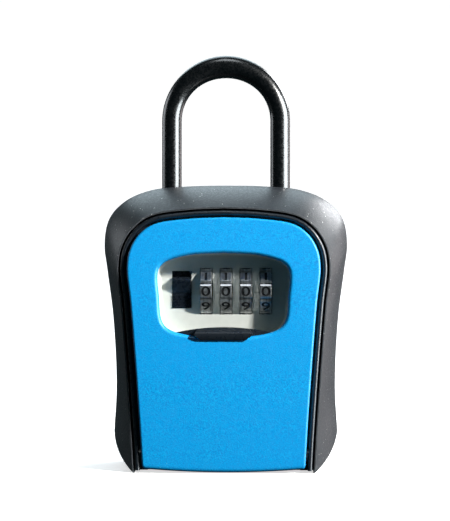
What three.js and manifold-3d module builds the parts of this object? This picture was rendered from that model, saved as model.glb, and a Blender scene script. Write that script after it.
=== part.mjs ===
// Key lock box: a hanging box with a removable shackle, four code dials behind a sliding
// shutter, and a front door that swings down on two pins at its foot.
// Millimetres. X runs across the front, the front faces -Y, Z is up, and the base is at Z = 0.
// Every piece is drawn with the wall plane at Y = 0; the last group moves the whole box so that
// its bounding box is centred on X = Y = 0.
import * as THREE from 'three';
import { mergeVertices } from 'three/addons/utils/BufferGeometryUtils.js';
import Module from 'manifold-3d';

const wasm = await Module();
wasm.setup();

// ---------------------------------------------------------------- driving dimensions
const GAP = 0.3; // clearance between neighbouring pieces
const PAST = 5; // how far a cutting tool runs past the face that it cuts
const FAR = 80; // outside every piece, for tools that cut right through
const ROOF_Z = [FAR, 120]; // reach of the tools that cut holes down through the roof

// Outlines as [half width, height], from the foot up to the crown; the left half mirrors the right
const FOOT_Z = -12; // the outlines start below the base, and the base plane trims them
const BODY_EDGE = [
  [42.0, FOOT_Z], [42.4, 9], [41.4, 30], [42.7, 57], [44.9, 74], [46.0, 84],
  [44.1, 93.5], [37.9, 100.1], [28.1, 104.1], [14.0, 105.5], [0, 105.8],
];
const COVER_EDGE = [
  [29.0, FOOT_Z], [29.9, 8], [31.1, 27], [32.4, 45], [33.8, 62], [35.1, 75],
  [34.0, 81.3], [30.8, 86.6], [25.5, 90.3], [13.0, 92.3], [0, 92.9],
];
const WINDOW_EDGE = [
  [0, 49.2], [11.0, 49.9], [17.6, 51.3], [21.1, 53.3], [22.7, 56.3], [23.4, 64], [24.0, 71],
  [23.5, 74.2], [21.7, 76.3], [18.8, 77.6], [12.0, 79.2], [0, 79.9],
];
// Rounded lower corners: a curve from the base to the side, with the handles of its two ends
const FOOT_CORNER = [[32.6, 0], [36.8, 2.6], [42.3, 8.0], [42.5, 16]];
const BODY_STEPS = 28; // points on each half of the body and cover outlines
const WINDOW_STEPS = 16; // points on each half of the window outline

// Depths of the housing, from the wall at 0 to the front rim
const CREST_Y = -14; // the side walls stand straight as far forward as this
const RIM_Y = -37.5;
const BOX_FRONT_Y = -33;
const BACK_WALL_Y = -3;
const FLANGE_Y = -2.4;
const FLANGE_INSET = 2.2; // shell edge visible round the back flange
const FLOOR_TOP_Z = 5;
const BOX_FOOT_Z = 2.7;
const RIM_OFFSET = 3.1; // rim's inner edge outside the cover's edge
const RIM_WIDTH = 0.8;
const BOX_OFFSET = 3.0; // inner box's outside, outside the cover's edge
const BOX_WALL = 2.0;

// Hinge at the foot of the door
const HINGE = { y: -34.8, z: 6.0, pin: 1.25, knuckle: 2.9, sweep: 7.3 };
const EAR_X = [24.3, 27.4];
const KNUCKLES_X = [[18.5, 23.7], [28.0, 32.0]];
const PIN_X = [18.9, 31.7];

// Door
const CHASSIS_Y = [-35.9, -33.3];
const CHASSIS_FOOT_Z = 1.0;
const BEAD_Y = -38.2;
const BEAD_OFFSET = [0.9, 2.5];
const COVER_BACK_Y = -36.2;
const COVER_DOME = { crown: -40.5, middle: 46.5, sag: 1.5, roof: 94 }; // flat across, bowed up the face
const COVER_FOOT = { z: 0.2, rise: 1.3, at: 29.5, round: 1.6 }; // bowed lower edge
const GRIP_Y = -41.9; // the frontmost face of the whole box
const SHUTTER = { half: 25.5, foot: 21, shoulder: 49, crown: 53 };
const SHUTTER_POCKET = { x: 25.9, z: [20.4, 81.2], y: -38.0 };

// Dials
const DIAL = { y: -26.2, z: 66, radius: 9.5, groove: 8.6, width: 4.1, pitch: 7.3, first: -6.6 };
const DIAL_COUNT = 4;
const DIGITS = 10;
const CLUTCH = { land: 2.6, pocket: 3.5, seat: 3.6, core: 2.3, tooth: 3.2, flange: 3.3 };
const GATE_RADIUS = 2.4;
const SHAFT_RADIUS = 1.25;
const PANEL_Y = [-31.0, -29.9];
const SLOT = { half: 2.35, z: [57.5, 74.5] };
const INDEX_RIB = { end: 21.6, height: 0.3, z: [65.7, 66.3] };

// Open switch
const SWITCH_X = -15.6;
const SWITCH_SLOT = { half: 3.6, z: [59.7, 73.4] };

// Lock case between the panel and the lock cover
const CASE_Y = [-29.6, -15.0];
const CASE_EDGE = [
  [-30.2, 53.0], [30.2, 53.0], [30.2, 60.0], [28.4, 66.0],
  [28.4, 84.2], [-22.0, 84.2], [-22.0, 66.0], [-30.2, 60.0],
];
const CASE_WALL = 1.5;
const CASE_POSTS = [[-27.7, 56.6], [27.7, 56.6], [-19.4, 81.6], [25.8, 81.6]];
const BEARINGS_X = [[-12.4, -10.9], [20.9, 22.4]];
const LOCK_COVER_Y = [-14.7, -13.5];
const LATCH_Y = [-16.3, -15.1];

// Shackle
const ROD = 3.75;
const LEG_X = 20.7;
const SHACKLE_Y = -9.0;
const SHACKLE_TOP_Z = 155.6;
const SHACKLE_SWELL = 0.14; // share that the bar is thicker by at the crown of its bend
const SHACKLE_BEND_Z = SHACKLE_TOP_Z - ROD * (1 + SHACKLE_SWELL) - LEG_X;
const LEG_FOOT_Z = 85.3;
const LEG_HOLE = 4.1;
const BLOCK = { x: 30.4, y: [-14.6, -3.3], z: [84.9, 94.5] };
const LOCK_PLATE = { x: 25.6, y: [-13.6, -4.3], z: [87.3, 88.8] };
const NOTCH = { depth: 2.0, clearance: 0.35 };

// Screws: head radius and height, shank radius
const M25 = { head: 2.2, height: 1.3, shank: 1.2 };
const M2 = { head: 2.0, height: 1.1, shank: 1.0 };
const WALL_HOLES = [[-19, 22], [19, 22], [-19, 70], [19, 70]];
const WALL_HOLE_RADIUS = 3.0;
const SHELL_SCREWS = [[-36.8, 20], [36.8, 20], [-40.2, 74], [40.2, 74]];
const BLOCK_SCREWS = [[-12, 91.2], [12, 91.2]];
const KEEPER_SCREWS = [[-7, -23], [7, -23]];
const COVER_SCREWS = [[-14, 13], [14, 13], [-14, 87.5], [14, 87.5]];

// ---------------------------------------------------------------- materials
function material(colour, roughness, metalness) {
  return new THREE.MeshStandardMaterial({ color: colour, roughness, metalness });
}
const SHELL = material(0x26282b, 0.55, 0);
const CASTING = material(0x3a3d40, 0.5, 0.7);
const GLOSS_BLACK = material(0x0c0c0e, 0.15, 0);
const BLACK = material(0x141518, 0.4, 0);
const BLUE = material(0x169cee, 0.35, 0);
const LIGHT_GREY = material(0xd9ddd6, 0.5, 0);
const CHROME = material(0xc8cbcf, 0.18, 1);
const STEEL = material(0xa8abad, 0.35, 1);
const BRASS = material(0xb58b3c, 0.35, 1);
const RUBBER = material(0x1b1b1b, 0.9, 0);

// ---------------------------------------------------------------- solids
function toSolid(geometry) {
  const bare = geometry.clone();
  bare.deleteAttribute('normal');
  bare.deleteAttribute('uv');
  const merged = mergeVertices(bare, 1e-4);
  const vertProperties = merged.attributes.position.array;
  const triVerts = Uint32Array.from(merged.index.array);
  return new wasm.Manifold(new wasm.Mesh({ numProp: 3, vertProperties, triVerts }));
}

function toGeometry(solid) {
  const { vertProperties, triVerts } = solid.getMesh();
  const geometry = new THREE.BufferGeometry();
  geometry.setAttribute('position', new THREE.BufferAttribute(vertProperties, 3));
  geometry.setIndex(new THREE.BufferAttribute(triVerts, 1));
  const faceted = geometry.toNonIndexed();
  faceted.computeVertexNormals();
  return faceted;
}

function join(...solids) {
  return solids.reduce((sum, solid) => sum.add(solid));
}

function cut(solid, ...tools) {
  return tools.reduce((rest, tool) => rest.subtract(tool), solid);
}

function box([x0, x1], [y0, y1], [z0, z1]) {
  const geometry = new THREE.BoxGeometry(x1 - x0, y1 - y0, z1 - z0);
  geometry.translate((x0 + x1) / 2, (y0 + y1) / 2, (z0 + z1) / 2);
  return toSolid(geometry);
}

// Extrusion frames: a shape drawn in (Y, Z), (X, Z) or (X, Y) is pushed along the third axis
const PUSH = {
  x: [[0, 1, 0], [0, 0, 1], [1, 0, 0]],
  y: [[1, 0, 0], [0, 0, 1], [0, -1, 0]],
  z: [[1, 0, 0], [0, 1, 0], [0, 0, 1]],
};

function extrude(shape, axis, [from, to], curveSegments = 12) {
  const options = { depth: to - from, bevelEnabled: false, curveSegments };
  const geometry = new THREE.ExtrudeGeometry(shape, options);
  const basis = PUSH[axis].map((column) => new THREE.Vector3(...column));
  geometry.applyMatrix4(new THREE.Matrix4().makeBasis(...basis));
  const start = basis[2].clone().multiplyScalar(axis === 'y' ? -to : from);
  geometry.translate(start.x, start.y, start.z);
  return toSolid(geometry);
}

function polygon(points) {
  return new THREE.Shape(points.map(([u, v]) => new THREE.Vector2(u, v)));
}

function circle(u, v, radius) {
  return new THREE.Shape().absarc(u, v, radius, 0, 2 * Math.PI);
}

function rectangle([u0, u1], [v0, v1]) {
  return polygon([[u0, v0], [u1, v0], [u1, v1], [u0, v1]]);
}

// A solid of revolution about Z, from a closed profile of [radius, height]
function turned(profile, segments = 10) {
  return new THREE.LatheGeometry(profile.map(([r, z]) => new THREE.Vector2(r, z)), segments)
    .rotateX(Math.PI / 2);
}

// ---------------------------------------------------------------- outlines
function halfCurve(controls, steps) {
  const points = controls.map(([x, z]) => new THREE.Vector3(x, z, 0));
  const curve = new THREE.CatmullRomCurve3(points, false, 'centripetal');
  return curve.getSpacedPoints(steps).map((point) => [point.x, point.y]);
}

// The right half runs from the foot up to the crown, where x is 0
function mirrored(half) {
  const left = half.filter(([x]) => Math.abs(x) > 1e-6).reverse();
  return [...half, ...left.map(([x, z]) => [-x, z])];
}

// Moves a closed counter-clockwise outline outwards by a distance (inwards if negative)
function offset(outline, distance) {
  const count = outline.length;
  return outline.map((point, i) => {
    const here = new THREE.Vector2(...point);
    const before = here.clone().sub(new THREE.Vector2(...outline[(i + count - 1) % count]));
    const after = new THREE.Vector2(...outline[(i + 1) % count]).sub(here);
    const a = new THREE.Vector2(before.y, -before.x).normalize();
    const b = new THREE.Vector2(after.y, -after.x).normalize();
    const middle = a.clone().add(b).normalize();
    return here.addScaledVector(middle, distance / middle.dot(a)).toArray();
  });
}

const bodyOutline = mirrored(halfCurve(BODY_EDGE, BODY_STEPS));
const coverOutline = mirrored(halfCurve(COVER_EDGE, BODY_STEPS));
const windowOutline = mirrored(halfCurve(WINDOW_EDGE, WINDOW_STEPS));

function above(z) {
  return box([-FAR, FAR], [-FAR, FAR], [z, 2 * FAR]);
}

// ---------------------------------------------------------------- screws and pins
// Screws are turned about Z, with the head's seat at Z = 0 and the shank pointing down
function panScrew({ head, height, shank }, length) {
  return turned([
    [0, -length], [shank, -length], [shank, 0], [head, 0], [head * 0.8, height], [0, height],
  ]);
}

function flatScrew({ head, shank }, length) {
  const cone = head - shank;
  return turned([[0, -length], [shank, -length], [shank, -cone], [head, 0], [0, 0]]);
}

function flatScrewHole({ head, shank }, length) {
  const cone = head - shank;
  return toSolid(turned([
    [0, -length], [shank + GAP, -length], [shank + GAP, -cone], [head + GAP, 0],
    [head + GAP, PAST], [0, PAST],
  ]));
}

function facingBack(solid, x, z, y = 0) {
  return solid.rotate([-90, 0, 0]).translate([x, y, z]);
}

// ---------------------------------------------------------------- housing
// The shell narrows from the body outline at its crest to the rim round the door
function shellFlare() {
  const rim = offset(coverOutline, RIM_OFFSET + RIM_WIDTH);
  const depth = CREST_Y - RIM_Y;
  const options = { depth, steps: 7, bevelEnabled: false };
  const geometry = new THREE.ExtrudeGeometry(polygon(bodyOutline), options);
  const position = geometry.attributes.position;
  for (let i = 0; i < position.count; i += 1) {
    const reach = bodyOutline.map(([x, z]) => (
      Math.hypot(x - position.getX(i), z - position.getY(i))
    ));
    const [x, z] = rim[reach.indexOf(Math.min(...reach))];
    const t = 1 - position.getZ(i) / depth;
    const keep = t * (1.6 - 0.6 * t);
    const y = CREST_Y - position.getZ(i);
    position.setXYZ(
      i, x + (position.getX(i) - x) * keep, y, z + (position.getY(i) - z) * keep,
    );
  }
  return toSolid(geometry);
}

// Everything above the base plane and inside the two rounded lower corners, drawn in by an inset
function footTrim(inset = 0) {
  const [flat, low, high, top] = FOOT_CORNER.map(([x, z]) => [x - inset, z + inset]);
  const shape = new THREE.Shape();
  shape.moveTo(-flat[0], inset);
  shape.lineTo(flat[0], inset);
  shape.bezierCurveTo(...low, ...high, ...top);
  shape.lineTo(FAR, top[1]);
  shape.lineTo(FAR, 2 * FAR);
  shape.lineTo(-FAR, 2 * FAR);
  shape.lineTo(-FAR, top[1]);
  shape.lineTo(-top[0], top[1]);
  shape.bezierCurveTo(-high[0], high[1], -low[0], low[1], -flat[0], inset);
  return extrude(shape, 'y', [-FAR, PAST], 8);
}

// The room that the foot of the door needs as it turns about the hinge
function hingeRelief() {
  const inside = offset(coverOutline, RIM_OFFSET);
  const reach = [HINGE.z + HINGE.sweep, HINGE.y + HINGE.sweep];
  const zone = box([-FAR, FAR], [-FAR, reach[1]], [FOOT_Z, reach[0]]);
  return extrude(polygon(inside), 'y', [-FAR, 0]).intersect(zone);
}

function legHoles(radius) {
  return join(...[-LEG_X, LEG_X].map((x) => (
    extrude(circle(x, SHACKLE_Y, radius), 'z', ROOF_Z, 8)
  )));
}

function makeOuterShell() {
  const body = extrude(polygon(bodyOutline), 'y', [CREST_Y, 0]);
  const pocket = extrude(polygon(offset(coverOutline, BOX_OFFSET + GAP)), 'y', [-FAR, PAST]);
  const flangePocket = extrude(
    polygon(offset(bodyOutline, GAP - FLANGE_INSET)), 'y', [FLANGE_Y - GAP, PAST],
  );
  const recess = extrude(polygon(offset(coverOutline, RIM_OFFSET)), 'y', [-FAR, BOX_FRONT_Y]);
  const screwHoles = SHELL_SCREWS.map(([x, z]) => (
    extrude(circle(x, z, M25.shank + GAP), 'y', [-12, 0], 6)
  ));
  return cut(
    join(body, shellFlare()).intersect(footTrim()),
    pocket.intersect(above(BOX_FOOT_Z - GAP)),
    flangePocket.intersect(footTrim(BOX_FOOT_Z - GAP)),
    recess, hingeRelief(), legHoles(LEG_HOLE), ...screwHoles,
  );
}

// Ears that carry the hinge pins, standing forward of the inner box's floor
function hingeEars() {
  const { y, z, knuckle } = HINGE;
  const arm = polygon([
    [y, z + knuckle], [y, z], [-28.5, z - 2.2], [-27, BOX_FOOT_Z + 0.4], [-24, 4],
    [-24, z + knuckle],
  ]);
  const [x0, x1] = EAR_X;
  const ears = [[-x1, -x0], [x0, x1]].map((span) => (
    join(extrude(circle(y, z, knuckle), 'x', span, 8), extrude(arm, 'x', span))
  ));
  return join(...ears);
}

function hingeBore(span) {
  const hole = circle(HINGE.y, HINGE.z, HINGE.pin + GAP);
  return extrude(hole, 'x', span, 6);
}

function makeInnerBox() {
  const walls = extrude(polygon(offset(coverOutline, BOX_OFFSET)), 'y', [BOX_FRONT_Y, 0]);
  const flange = extrude(polygon(offset(bodyOutline, -FLANGE_INSET)), 'y', [FLANGE_Y, 0]);
  const cavity = extrude(
    polygon(offset(coverOutline, BOX_OFFSET - BOX_WALL)), 'y', [-FAR, BACK_WALL_Y],
  );
  const wallHoles = WALL_HOLES.map(([x, z]) => (
    extrude(circle(x, z, WALL_HOLE_RADIUS), 'y', [-10, PAST], 8)
  ));
  const shellHoles = SHELL_SCREWS.map(([x, z]) => facingBack(flatScrewHole(M25, 8), x, z));
  const blockHoles = BLOCK_SCREWS.map(([x, z]) => facingBack(flatScrewHole(M25, 8), x, z));
  const keeperHoles = KEEPER_SCREWS.map(([x, y]) => (
    extrude(circle(x, y, M25.shank + GAP), 'z', ROOF_Z, 6)
  ));
  const tray = cut(
    join(walls, flange).intersect(footTrim(BOX_FOOT_Z)),
    cavity.intersect(above(FLOOR_TOP_Z)),
    hingeRelief(),
  );
  return cut(
    join(tray, hingeEars()), hingeBore([-FAR, FAR]), legHoles(LEG_HOLE),
    ...wallHoles, ...shellHoles, ...blockHoles, ...keeperHoles,
  );
}

// Rubber plug that closes a wall screw hole from inside the box
function plugGeometry() {
  const stem = WALL_HOLE_RADIUS - GAP;
  return turned([
    [0, -2.7], [stem, -2.7], [stem, GAP], [4.6, GAP], [4.6, 1.0], [3.4, 1.8], [0, 2.1],
  ]);
}

function pinGeometry() {
  return new THREE.CylinderGeometry(HINGE.pin, HINGE.pin, PIN_X[1] - PIN_X[0], 12)
    .rotateZ(Math.PI / 2);
}

// ---------------------------------------------------------------- shackle and its lock
class ShackleLine extends THREE.Curve {
  getPoint(t, target = new THREE.Vector3()) {
    const leg = SHACKLE_BEND_Z - LEG_FOOT_Z;
    const bend = Math.PI * LEG_X;
    const s = t * (2 * leg + bend);
    if (s < leg) {
      return target.set(-LEG_X, SHACKLE_Y, LEG_FOOT_Z + s);
    }
    if (s > leg + bend) {
      return target.set(LEG_X, SHACKLE_Y, SHACKLE_BEND_Z - (s - leg - bend));
    }
    const angle = Math.PI - (s - leg) / LEG_X;
    const x = LEG_X * Math.cos(angle);
    return target.set(x, SHACKLE_Y, SHACKLE_BEND_Z + LEG_X * Math.sin(angle));
  }
}

// Bent bar, thickest at the crown of its bend, with a notch in each leg
function makeShackle() {
  const options = { steps: 38, bevelEnabled: false, curveSegments: 6 };
  options.extrudePath = new ShackleLine();
  const geometry = new THREE.ExtrudeGeometry(circle(0, 0, ROD), options);
  const { position } = geometry.attributes;
  for (let i = 0; i < position.count; i += 1) {
    const x = position.getX(i);
    const rise = position.getZ(i) - SHACKLE_BEND_Z;
    if (rise > 0) {
      const reach = Math.hypot(x, rise);
      const swell = (reach - LEG_X) * SHACKLE_SWELL * (rise / reach) ** 4;
      position.setX(i, x * (1 + swell / reach));
      position.setZ(i, SHACKLE_BEND_Z + rise * (1 + swell / reach));
    }
  }
  const rod = toSolid(geometry);
  const { depth, clearance } = NOTCH;
  const [z0, z1] = LOCK_PLATE.z;
  const notches = [-LEG_X, LEG_X].map((x) => box(
    [x - ROD - 1, x - ROD + depth], [-20, 0], [z0 - clearance, z1 + clearance],
  ));
  return cut(rod, ...notches);
}

// Guide block for the two legs, with a slot right through for the lock plate
function makeShackleBlock() {
  const { x, y, z } = BLOCK;
  const inside = extrude(polygon(offset(coverOutline, BOX_OFFSET - BOX_WALL - GAP)), 'y', y);
  const slotY = [LOCK_PLATE.y[0] - GAP, LOCK_PLATE.y[1] + GAP];
  const slotZ = [LOCK_PLATE.z[0] - GAP, LOCK_PLATE.z[1] + GAP];
  const thumbWindow = box([22.4, x - 1.6], [y[0] - 1, slotY[1]], slotZ);
  const screwHoles = BLOCK_SCREWS.map(([u, v]) => (
    extrude(circle(u, v, M25.shank + GAP), 'y', [-11, PAST], 6)
  ));
  return cut(
    inside.intersect(box([-x, x], y, z)),
    box([-50, 50], slotY, slotZ), thumbWindow, legHoles(LEG_HOLE), ...screwHoles,
  );
}

// Sliding plate whose D-shaped holes step into the notches of the legs
function makeLockPlate() {
  const { x, y, z } = LOCK_PLATE;
  const holes = [-LEG_X, LEG_X].map((u) => join(
    extrude(circle(u, SHACKLE_Y, LEG_HOLE), 'z', ROOF_Z, 8),
    box([u - LEG_HOLE, u], [SHACKLE_Y - LEG_HOLE, SHACKLE_Y + LEG_HOLE], ROOF_Z),
  ));
  const thumb = join(
    box([22.8, x], [-15.6, y[0] + 0.1], z),
    box([22.8, x], [-15.6, -14.9], [85.7, z[1]]),
  );
  return join(cut(box([-x, x], y, z), ...holes), thumb);
}

// Steel hook under the roof that the latch tongues rise behind
function makeKeeper() {
  const profile = polygon([
    [-27, 91.6], [-17.9, 91.6], [-17.9, 86.95], [-16.7, 86.95], [-16.7, 92.9], [-27, 92.9],
  ]);
  const holes = KEEPER_SCREWS.map(([x, y]) => (
    extrude(circle(x, y, M25.shank + GAP), 'z', ROOF_Z, 6)
  ));
  return cut(extrude(profile, 'x', [-12, 12]), ...holes);
}

// ---------------------------------------------------------------- door
// Front face, bowed from foot to crown, with a rounded lower edge that hangs lowest in the middle
function makeDoorCover() {
  const blank = extrude(polygon(coverOutline), 'y', [-50, COVER_BACK_Y]);
  const { z, rise, at, round } = COVER_FOOT;
  const ends = z + rise * (FAR / at) ** 2;
  const foot = new THREE.Shape();
  foot.moveTo(-FAR, ends);
  foot.quadraticCurveTo(0, 2 * z - ends, FAR, ends);
  foot.lineTo(FAR, 2 * FAR);
  foot.lineTo(-FAR, 2 * FAR);

  const { crown, middle, sag, roof } = COVER_DOME;
  const low = z + round;
  const bow = (height) => crown + sag * ((height - middle) / middle) ** 2;
  const half = (roof - low) / 2;
  const controlY = bow(low) + 2 * sag * (low - middle) / middle ** 2 * half;
  const side = new THREE.Shape();
  side.moveTo(COVER_BACK_Y, z);
  side.lineTo(COVER_BACK_Y, roof);
  side.lineTo(bow(roof), roof);
  side.quadraticCurveTo(controlY, low + half, bow(low), low);
  side.absarc(bow(low) + round, low, round, Math.PI, 1.5 * Math.PI);

  const pocket = SHUTTER_POCKET;
  const screwHoles = COVER_SCREWS.map(([u, v]) => (
    extrude(circle(u, v, M25.shank + GAP), 'y', [-38.8, 0], 6)
  ));
  return cut(
    blank
      .intersect(extrude(foot, 'y', [-FAR, 0], 24))
      .intersect(extrude(side, 'x', [-FAR, FAR], 12)),
    box([-pocket.x, pocket.x], [pocket.y, 0], pocket.z),
    box([-50, 50], [-38.0, 0], [-20, 9.5]),
    extrude(polygon(windowOutline), 'y', [-FAR, 0]),
    ...screwHoles,
  );
}

// Door tray: a back plate with a raised bead round the cover and knuckles at its foot
function makeDoorChassis() {
  const [beadIn, beadOut] = BEAD_OFFSET;
  const tray = extrude(polygon(offset(coverOutline, beadOut)), 'y', [BEAD_Y, CHASSIS_Y[1]]);
  const recess = extrude(polygon(offset(coverOutline, beadIn)), 'y', [-FAR, CHASSIS_Y[0]]);
  const opening = extrude(polygon(offset(windowOutline, 1.8)), 'y', [-FAR, 0]);
  const [ear0, ear1] = EAR_X;
  const notches = [[-ear1 - GAP, -ear0 + GAP], [ear0 - GAP, ear1 + GAP]].map((span) => (
    box(span, [-FAR, -30], [-20, HINGE.z + HINGE.knuckle + GAP])
  ));
  const knuckles = KNUCKLES_X.flatMap(([x0, x1]) => [[-x1, -x0], [x0, x1]]).map((span) => (
    extrude(circle(HINGE.y, HINGE.z, HINGE.knuckle), 'x', span, 8)
  ));
  const screwHoles = [...COVER_SCREWS, ...CASE_POSTS].map(([x, z]) => (
    extrude(circle(x, z, M25.shank + GAP), 'y', [-FAR, 0], 6)
  ));
  const plate = cut(tray.intersect(above(CHASSIS_FOOT_Z)), recess, opening, ...notches);
  return cut(join(plate, ...knuckles), hingeBore([-FAR, FAR]), ...screwHoles);
}

function dialX(index) {
  return DIAL.first + index * DIAL.pitch;
}

const dialIndices = [...Array(DIAL_COUNT).keys()];

// Light panel at the bottom of the window, with side walls, slots for the dials and switch, and a
// low rib that marks the row of numbers to read
function makeDialPanel() {
  const tray = extrude(polygon(offset(windowOutline, 1.5)), 'y', [CHASSIS_Y[0], PANEL_Y[1]]);
  const hollow = extrude(polygon(offset(windowOutline, 0.2)), 'y', [-FAR, PANEL_Y[0]]);
  const slots = dialIndices.map((i) => {
    const span = [dialX(i) - SLOT.half, dialX(i) + SLOT.half];
    return join(
      box(span, [-FAR, 0], SLOT.z),
      extrude(circle(DIAL.y, DIAL.z, DIAL.radius + GAP), 'x', span, 20),
    );
  });
  const rib = box(
    [SWITCH_X, INDEX_RIB.end], [PANEL_Y[0] - INDEX_RIB.height, PANEL_Y[0] + 0.5], INDEX_RIB.z,
  );
  const { half, z } = SWITCH_SLOT;
  const switchSlot = box([SWITCH_X - half, SWITCH_X + half], [-FAR, 0], z);
  return cut(join(cut(tray, hollow), rib), ...slots, switchSlot);
}

// Sliding weather shutter: an arched plate with a low grip that stands out through the window
function makeShutter() {
  const { half, foot, shoulder, crown } = SHUTTER;
  const plate = new THREE.Shape();
  plate.moveTo(-half, foot);
  plate.lineTo(half, foot);
  plate.lineTo(half, shoulder);
  plate.quadraticCurveTo(0, 2 * crown - shoulder, -half, shoulder);
  const gripFront = new THREE.Shape();
  gripFront.moveTo(-8.2, 48.5);
  gripFront.lineTo(8.2, 48.5);
  gripFront.lineTo(10.7, 50.4);
  gripFront.lineTo(9.6, 52.2);
  gripFront.quadraticCurveTo(0, 53.3, -9.6, 52.2);
  gripFront.lineTo(-10.7, 50.4);
  const gripSide = polygon([
    [-37.6, 50.3], [-37.6, 52.9], [-39.0, 52.75], [-41.3, 51.7], [GRIP_Y, 51.0],
    [GRIP_Y, 50.0], [-41.5, 48.8], [-41.2, 48.5], [-40.9, 48.5], [-40.9, 50.3],
  ]);
  const grip = extrude(gripFront, 'y', [-FAR, 0], 8).intersect(extrude(gripSide, 'x', [-FAR, FAR]));
  return join(extrude(plate, 'y', [-37.7, COVER_BACK_Y], 16), grip);
}

// ---------------------------------------------------------------- lock mechanism
// Frame of the lock: outer ring, two shaft bearings and four screw posts
function makeLockCase() {
  const ring = cut(
    extrude(polygon(CASE_EDGE), 'y', CASE_Y),
    extrude(polygon(offset(CASE_EDGE, -CASE_WALL)), 'y', [-FAR, 0]),
  );
  const bearings = BEARINGS_X.map((span) => box(span, [-28.8, -16.7], [53.5, 83.7]));
  const posts = CASE_POSTS.map(([x, z]) => extrude(circle(x, z, 2.4), 'y', [-33, CASE_Y[1]], 6));
  const bores = CASE_POSTS.map(([x, z]) => (
    extrude(circle(x, z, M25.shank + GAP), 'y', [-FAR, 0], 6)
  ));
  const shaftBore = extrude(circle(DIAL.y, DIAL.z, SHAFT_RADIUS + GAP), 'x', [-20, 24], 6);
  const tongueSlots = [[-11.4, -4.6], [4.6, 11.4]].map((span) => (
    box(span, [-16.7, 0], [80, 90])
  ));
  return cut(join(ring, ...bearings, ...posts), ...bores, shaftBore, ...tongueSlots);
}

function makeLockCover() {
  const holes = CASE_POSTS.map(([x, z]) => (
    extrude(circle(x, z, M25.shank + GAP), 'y', [-FAR, 0], 6)
  ));
  const leverSlot = box([22.4, 26.4], [-FAR, 0], [64.2, 67.8]);
  const screwSlot = box([SWITCH_X - 2.5, SWITCH_X + 2.5], [-FAR, 0], [63.0, 70.2]);
  return cut(extrude(polygon(CASE_EDGE), 'y', LOCK_COVER_Y), ...holes, leverSlot, screwSlot);
}

// Number wheel: ten pads round the rim, clutch pockets on the left, a plain seat on the right
function makeDialWheel() {
  const step = (2 * Math.PI) / DIGITS;
  const digits = [...Array(DIGITS).keys()];
  const polar = (radius, angle) => [-radius * Math.cos(angle), radius * Math.sin(angle)];
  const rim = digits.flatMap((digit) => [-0.42, 0, 0.42]
    .map((share) => polar(DIAL.radius, (digit + share) * step))
    .concat([polar(DIAL.groove, (digit + 0.5) * step)]));
  const pockets = digits.flatMap((digit) => [
    polar(CLUTCH.land, (digit - 0.32) * step), polar(CLUTCH.pocket, (digit - 0.25) * step),
    polar(CLUTCH.pocket, (digit + 0.25) * step), polar(CLUTCH.land, (digit + 0.32) * step),
  ]);
  const half = DIAL.width / 2;
  return cut(
    extrude(polygon(rim), 'x', [-half, half]),
    extrude(polygon(pockets), 'x', [-half - 1, half + 1]),
    extrude(circle(0, 0, CLUTCH.seat), 'x', [0.2, half + 1], 10),
  );
}

// Clutch sleeve: a core the wheel turns on, ten short teeth and a gated flange
function makeClutchSleeve() {
  const step = (2 * Math.PI) / DIGITS;
  const tooth = (digit) => {
    const radius = CLUTCH.tooth;
    const angle = digit * step;
    const bar = rectangle([CLUTCH.core - 0.4, radius], [-0.2, 0.2]);
    return extrude(bar, 'x', [0.5, 1.85]).rotate([THREE.MathUtils.radToDeg(angle), 0, 0]);
  };
  const teeth = [...Array(DIGITS).keys()].map(tooth);
  const core = extrude(circle(0, 0, CLUTCH.core), 'x', [-1.9, 4.1], 8);
  const flange = extrude(circle(0, 0, CLUTCH.flange), 'x', [4.0, 4.9], 10);
  const gate = box([3.5, 5.5], [-1.2, 1.2], [GATE_RADIUS, 10]);
  const bore = extrude(circle(0, 0, SHAFT_RADIUS + GAP), 'x', [-5, 8], 6);
  return cut(join(core, flange, ...teeth), gate, bore);
}

function makeShaft() {
  return extrude(circle(DIAL.y, DIAL.z, SHAFT_RADIUS), 'x', [-11.9, 26.3], 6);
}

// Lever on the shaft's end; its knob stands behind the lock cover
function makeCodeLever() {
  const span = [24.2, 26.0];
  const ring = cut(
    extrude(circle(DIAL.y, DIAL.z, 3.0), 'x', span, 8),
    extrude(circle(DIAL.y, DIAL.z, SHAFT_RADIUS + GAP), 'x', [0, FAR], 6),
  );
  const arm = box(span, [DIAL.y + 2.2, -12.4], [64.8, 67.2]);
  const knob = box([23.4, 26.4], [-13.1, -11.6], [63.2, 68.8]);
  return join(ring, arm, knob);
}

// Click spring: one bent finger under each wheel on a common strip
function makeDetentSpring() {
  const strip = box([-10.6, 20.6], [-27, -17.2], [54.8, 55.4]);
  const finger = polygon([
    [-19.0, 54.9], [-17.2, 54.9], [-17.0, 58.2], [-18.6, 59.9], [-18.9, 59.5], [-17.6, 57.9],
    [-17.7, 55.3], [-19.0, 55.3],
  ]);
  const fingers = dialIndices.map((i) => (
    extrude(finger, 'x', [dialX(i) - 1.3, dialX(i) + 1.3])
  ));
  return join(strip, ...fingers);
}

// Latch: a plate behind the wheels with two tongues on top and a toothed finger for each sleeve
function makeLatchPlate() {
  const plate = polygon([
    [-19.3, 60.5], [20.2, 60.5], [20.2, 79.5], [11, 79.5], [11, 86], [5, 86], [5, 79.5],
    [-5, 79.5], [-5, 86], [-11, 86], [-11, 79.5], [-15.4, 79.5], [-19.3, 74.5],
  ]);
  const finger = polygon([
    [-15.7, 69.8], [-15.7, 71.4], [-27.1, 71.4], [-27.1, 68.7], [-25.3, 68.7], [-25.3, 69.8],
  ]);
  const fingers = dialIndices.map((i) => (
    extrude(finger, 'x', [dialX(i) + 2.4, dialX(i) + 4.9])
  ));
  const screwHole = extrude(circle(SWITCH_X, 65.5, M2.shank + GAP), 'y', [-FAR, 0], 6);
  return cut(join(extrude(plate, 'y', LATCH_Y), ...fingers), screwHole);
}

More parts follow.
